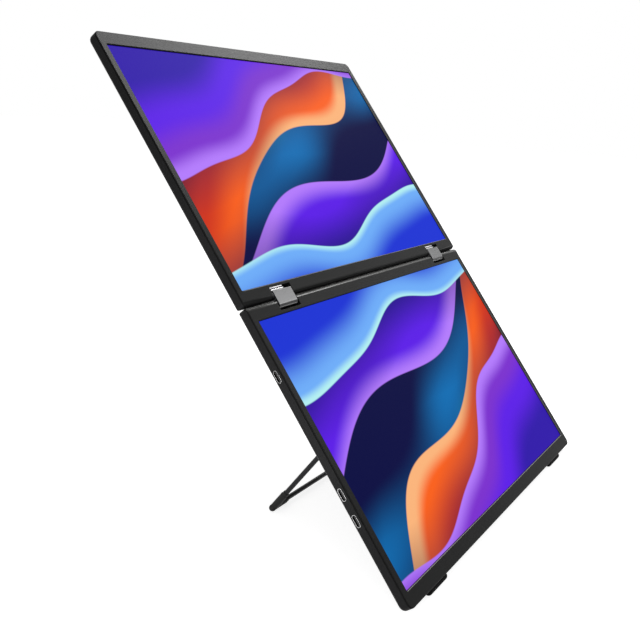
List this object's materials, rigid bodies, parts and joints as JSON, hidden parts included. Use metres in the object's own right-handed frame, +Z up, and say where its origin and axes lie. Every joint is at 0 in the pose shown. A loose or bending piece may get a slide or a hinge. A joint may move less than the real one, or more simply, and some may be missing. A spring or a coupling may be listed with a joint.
{
  "type": "laptop screen extender",
  "caption": "Stacked twin-display screen extender: flat housings joined by a dual-axle hinge, leaning on a fold-out wire stand.",
  "frame": {"origin": "middle of the bounding box in plan, on the surface that the object stands on", "axes": "+X to the right as the screens are seen, -Y towards the user, +Z up"},
  "size_m": [0.359, 0.2741, 0.3497],
  "materials": {
    "housing": "fine-grained matte charcoal",
    "bezel": "fine-grained matte charcoal",
    "screen": "lit display panel under smooth glass",
    "steel": "plain",
    "tray": "plain sheet",
    "light_guide": "clear acrylic with a white back sheet",
    "chip": "moulded",
    "board": "solder mask",
    "socket": "plated",
    "rubber": "matte",
    "clamp": "matte",
    "hinge": "satin",
    "knuckle": "polished",
    "rod": "satin black"
  },
  "bodies": {
    "lower_display": {"lower_back_cover": "housing", "lower_front_bezel": "bezel", "lower_glass": "screen", "lower_backlight_tray": "tray", "lower_light_guide": "light_guide", "main_board": "board", "main_board_chips": "chip", "usb_shell_low": "socket", "usb_shell_middle": "socket", "usb_shell_high": "socket", "usb_tongues": "chip", "foot_left": "rubber", "foot_right": "rubber", "lower_bracket_left": "steel", "lower_bracket_right": "steel", "lower_axle_left": "steel", "lower_axle_right": "steel", "lower_axle_rings": "steel", "lower_bracket_screws": "steel", "clamp_left": "clamp", "clamp_right": "clamp", "clamp_screws": "steel"},
    "hinge_links": {"link_left": "hinge", "link_right": "hinge", "knuckle_left": "knuckle", "knuckle_right": "knuckle"},
    "upper_display": {"upper_back_cover": "housing", "upper_front_bezel": "bezel", "upper_glass": "screen", "upper_backlight_tray": "tray", "upper_light_guide": "light_guide", "panel_board": "board", "panel_board_chips": "chip", "upper_bracket_left": "steel", "upper_bracket_right": "steel", "upper_axle_left": "steel", "upper_axle_right": "steel", "upper_axle_rings": "steel", "upper_bracket_screws": "steel", "friction_washers": "steel", "axle_nuts": "steel"},
    "stand": {"stand_rod": "rod", "sleeve_left": "rubber", "sleeve_right": "rubber"}
  },
  "joints": [
    {"name": "stand_fold", "type": "hinge", "parent": "lower_display", "child": "stand", "pos_m": [0, -0.05461, 0.09873], "axis": [1, 0, 0], "range_deg": [-74, 0]},
    {"name": "link_fold", "type": "hinge", "parent": "lower_display", "child": "hinge_links", "pos_m": [0, -0.00248, 0.17271], "axis": [1, 0, 0], "range_deg": [0, 90]},
    {"name": "upper_fold", "type": "hinge", "parent": "hinge_links", "child": "upper_display", "pos_m": [0, 0.00226, 0.17878], "axis": [1, 0, 0], "range_deg": [0, 90]}
  ]
}
